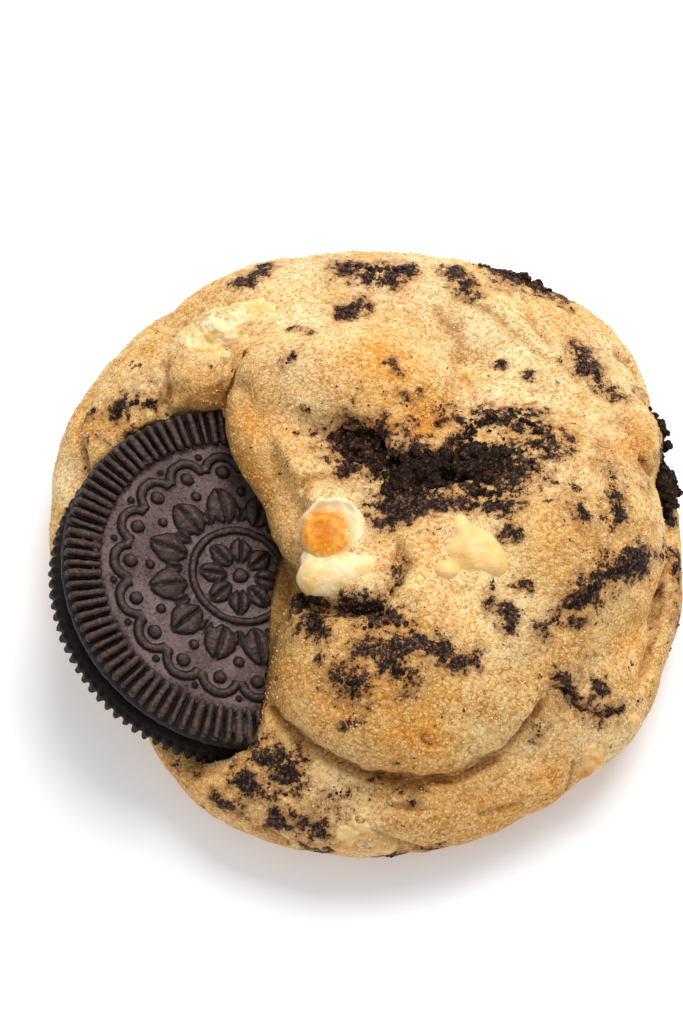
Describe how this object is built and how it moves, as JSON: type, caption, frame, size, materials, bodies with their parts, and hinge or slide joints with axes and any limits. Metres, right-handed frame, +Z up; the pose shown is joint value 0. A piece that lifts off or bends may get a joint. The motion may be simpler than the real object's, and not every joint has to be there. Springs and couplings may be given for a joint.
{
  "type": "cookies-and-cream cookie with a half chocolate sandwich cookie",
  "caption": "Thick round soft-baked vanilla cookie of folded dough, with half of a ridged chocolate sandwich cookie pressed aslant into one side, white chocolate chips and dark crumb.",
  "frame": {"origin": "middle of the cookie's plan, on the flat underside that it rests on", "axes": "+Z up; +X to the side away from the half sandwich cookie; -Y to the side of the low front ledge"},
  "size_m": [0.0792, 0.0796, 0.0275],
  "materials": {
    "baked_dough": "golden baked vanilla dough, grainy with sugar, browned on top and at the foot",
    "chocolate_wafer": "very dark cocoa biscuit, satin with a faint grey bloom",
    "cream": "matt off-white cream filling",
    "white_chocolate": "pale melted white chocolate, softly glossy",
    "browned_white_chocolate": "white chocolate toasted to amber in the middle",
    "dark_crumb": "rough black-brown cookie crumb with small sugar glints"
  },
  "bodies": {
    "root": {"dough": "baked_dough", "upper_wafer": "chocolate_wafer", "lower_wafer": "chocolate_wafer", "cream_filling": "cream", "browned_chip": "browned_white_chocolate", "white_chip_front": "white_chocolate", "white_chip_right": "white_chocolate", "white_chunk_left": "white_chocolate", "white_chunk_bottom": "white_chocolate", "white_chunk_right": "white_chocolate", "crumb_crevice_left": "dark_crumb", "crumb_crevice_middle": "dark_crumb", "crumb_crevice_right": "dark_crumb", "crumb_edge_upper": "dark_crumb", "crumb_edge_lower": "dark_crumb", "crumb_back": "dark_crumb", "crumb_low_left": "dark_crumb"}
  },
  "joints": []
}
